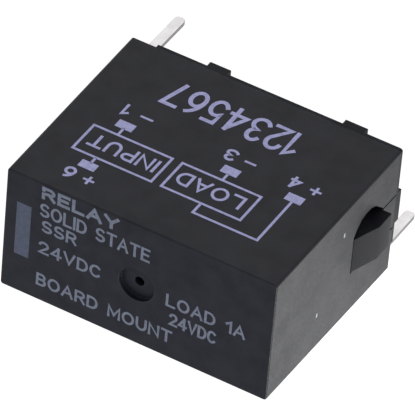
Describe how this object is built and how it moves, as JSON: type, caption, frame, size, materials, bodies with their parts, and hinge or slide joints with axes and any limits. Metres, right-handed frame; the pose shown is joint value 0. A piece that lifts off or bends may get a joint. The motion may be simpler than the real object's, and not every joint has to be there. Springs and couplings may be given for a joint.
{
  "type": "solid state relay",
  "caption": "Board-mounted solid state relay: black push-fit case over a base with four flat blade terminals, circuit board and power switch inside.",
  "frame": {"origin": "centre of the seat plane that the base's feet rest on, where the host board's surface lies; the terminals go below it", "axes": "+Z away from the host board towards the closed top of the case; +X towards the input end, -X towards the load end; -Y is the broad face with the connection diagram"},
  "size_m": [0.0214, 0.01, 0.0202],
  "materials": {
    "case_plastic": "fine moulded texture, black thermoplastic",
    "base_plastic": "fine moulded texture, black thermoplastic",
    "terminal_metal": "bright tin plating over copper alloy",
    "solder_metal": "bright solder",
    "board_laminate": "green solder resist over glass epoxy",
    "sealing_resin": "cured resin",
    "moulded_epoxy": "matt black moulding compound",
    "tab_metal": "tinned copper",
    "lead_metal": "tinned wire and strip",
    "spreader_aluminium": "mill finish sheet",
    "screw_steel": "zinc plated",
    "blue_coating": "dipped coating",
    "beige_coating": "lacquer",
    "diode_body": "moulded body",
    "chip_ceramic": "overglazed ceramic",
    "chip_tan": "fired ceramic"
  },
  "bodies": {
    "base": {"base": "base_plastic", "terminal_1": "terminal_metal", "terminal_3": "terminal_metal", "terminal_4": "terminal_metal", "terminal_6": "terminal_metal", "solder_joint_1": "solder_metal", "solder_joint_3": "solder_metal", "solder_joint_4": "solder_metal", "solder_joint_6": "solder_metal", "circuit_board": "board_laminate", "resin_seal": "sealing_resin", "output_transistor": "moulded_epoxy", "output_transistor_tab": "tab_metal", "output_transistor_lead_1": "lead_metal", "output_transistor_lead_2": "lead_metal", "output_transistor_lead_3": "lead_metal", "heat_spreader": "spreader_aluminium", "spreader_screw": "screw_steel", "photocoupler": "moulded_epoxy", "photocoupler_lead_1": "lead_metal", "photocoupler_lead_2": "lead_metal", "photocoupler_lead_3": "lead_metal", "photocoupler_lead_4": "lead_metal", "driver_transistor": "moulded_epoxy", "driver_transistor_lead_1": "lead_metal", "driver_transistor_lead_2": "lead_metal", "driver_transistor_lead_3": "lead_metal", "surge_absorber": "blue_coating", "surge_absorber_lead_1": "lead_metal", "surge_absorber_lead_2": "lead_metal", "input_resistor": "beige_coating", "input_resistor_lead_1": "lead_metal", "input_resistor_lead_2": "lead_metal", "protection_diode": "diode_body", "protection_diode_lead_1": "lead_metal", "protection_diode_lead_2": "lead_metal", "chip_resistor_1": "chip_ceramic", "chip_resistor_2": "chip_ceramic", "chip_capacitor": "chip_tan"},
    "case": {"case": "case_plastic"},
    "latch_load": {"latch_arm_load": "base_plastic"},
    "latch_input": {"latch_arm_input": "base_plastic"}
  },
  "joints": [
    {"name": "case_lift", "type": "slide", "parent": "base", "child": "case", "axis": [0, 0, 1], "range_m": [0, 0.018], "deforming": ["latch_arm_input", "latch_arm_load"]},
    {"name": "latch_load_flex", "type": "hinge", "parent": "base", "child": "latch_load", "pos_m": [-0.00888, 0, 0.00125], "axis": [0, 1, 0], "range_deg": [0, 10], "stiffness_Nm_per_rad": 0.002},
    {"name": "latch_input_flex", "type": "hinge", "parent": "base", "child": "latch_input", "pos_m": [0.00888, 0, 0.00125], "axis": [0, -1, 0], "range_deg": [0, 10], "stiffness_Nm_per_rad": 0.002}
  ]
}
